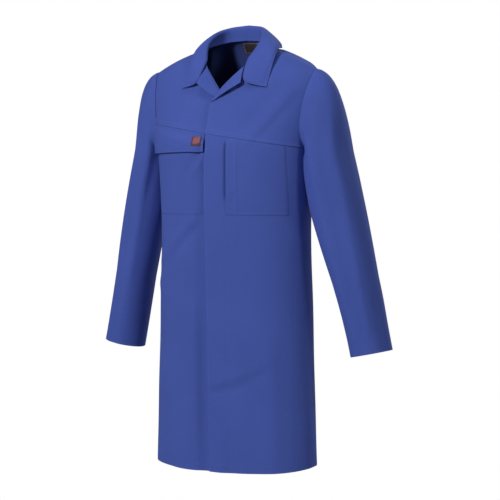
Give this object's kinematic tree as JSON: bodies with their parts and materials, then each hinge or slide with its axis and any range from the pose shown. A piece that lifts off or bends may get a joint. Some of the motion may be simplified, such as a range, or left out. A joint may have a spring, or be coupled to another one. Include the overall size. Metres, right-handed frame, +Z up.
{
  "type": "work coat",
  "caption": "Knee-length work coat with turned-down collar, hidden snap front, chest pockets, one with a flap, and long sleeves.",
  "frame": {"origin": "middle of the coat, level with the inner ends of the shoulder seams, where the wearer's or the hanger's shoulders carry it", "axes": "+Z up, +X to the wearer's left, -Y to the front"},
  "size_m": [0.7714, 0.2487, 1.0551],
  "materials": {
    "blue_twill": "matt cotton-rich twill, royal blue",
    "blue_twill_inside": "the same twill, inner side",
    "interlining": "bonded fusible web",
    "label_ribbon": "woven satin ribbon, plain",
    "red_tab": "woven ribbon, plain",
    "snap_steel": "satin nickel"
  },
  "bodies": {
    "root": {"back_panel_left": "blue_twill", "back_panel_right": "blue_twill", "back_vent_underlap": "blue_twill_inside", "front_yoke_left": "blue_twill", "front_yoke_right": "blue_twill", "front_panel_right": "blue_twill", "side_panel_left": "blue_twill", "side_panel_right": "blue_twill", "facing_left_upper": "blue_twill_inside", "facing_right_upper": "blue_twill_inside", "facing_right": "blue_twill_inside", "lapel_left": "blue_twill", "lapel_right": "blue_twill", "under_collar": "blue_twill", "collar_interlining": "interlining", "top_collar": "blue_twill", "neck_label": "label_ribbon", "chest_pocket_right": "blue_twill", "side_pocket_bag_right": "blue_twill_inside", "snap_stud_1": "snap_steel", "snap_stud_2": "snap_steel", "snap_stud_3": "snap_steel", "snap_stud_4": "snap_steel", "snap_stud_5": "snap_steel", "snap_stud_6": "snap_steel"},
    "front_left": {"front_panel_left": "blue_twill", "fly_cover": "blue_twill", "fly_strip": "blue_twill_inside", "facing_left": "blue_twill_inside", "chest_pocket_left": "blue_twill", "pocket_welt_left": "blue_twill", "side_pocket_bag_left": "blue_twill_inside", "snap_socket_1": "snap_steel", "snap_socket_2": "snap_steel", "snap_socket_3": "snap_steel", "snap_socket_4": "snap_steel", "snap_socket_5": "snap_steel", "snap_socket_6": "snap_steel"},
    "chest_flap": {"flap_outer": "blue_twill", "flap_lining": "blue_twill_inside", "flap_tab": "red_tab"},
    "sleeve_left": {"sleeve_left_top": "blue_twill", "sleeve_left_under": "blue_twill"},
    "sleeve_right": {"sleeve_right_top": "blue_twill", "sleeve_right_under": "blue_twill"}
  },
  "joints": [
    {"name": "front_left_open", "type": "hinge", "parent": "root", "child": "front_left", "pos_m": [0.172, -0.0705, -0.6], "axis": [0, 0, 1], "range_deg": [0, 65]},
    {"name": "chest_flap_lift", "type": "hinge", "parent": "root", "child": "chest_flap", "pos_m": [-0.1055, -0.117, -0.1895], "axis": [-0.9147, 0.3789, 0.1405], "range_deg": [0, 100]},
    {"name": "sleeve_left_lift", "type": "hinge", "parent": "root", "child": "sleeve_left", "pos_m": [0.209, 0.005, -0.046], "axis": [0, -1, 0], "range_deg": [0, 45]},
    {"name": "sleeve_right_lift", "type": "hinge", "parent": "root", "child": "sleeve_right", "pos_m": [-0.209, 0.005, -0.046], "axis": [0, 1, 0], "range_deg": [0, 45]}
  ]
}
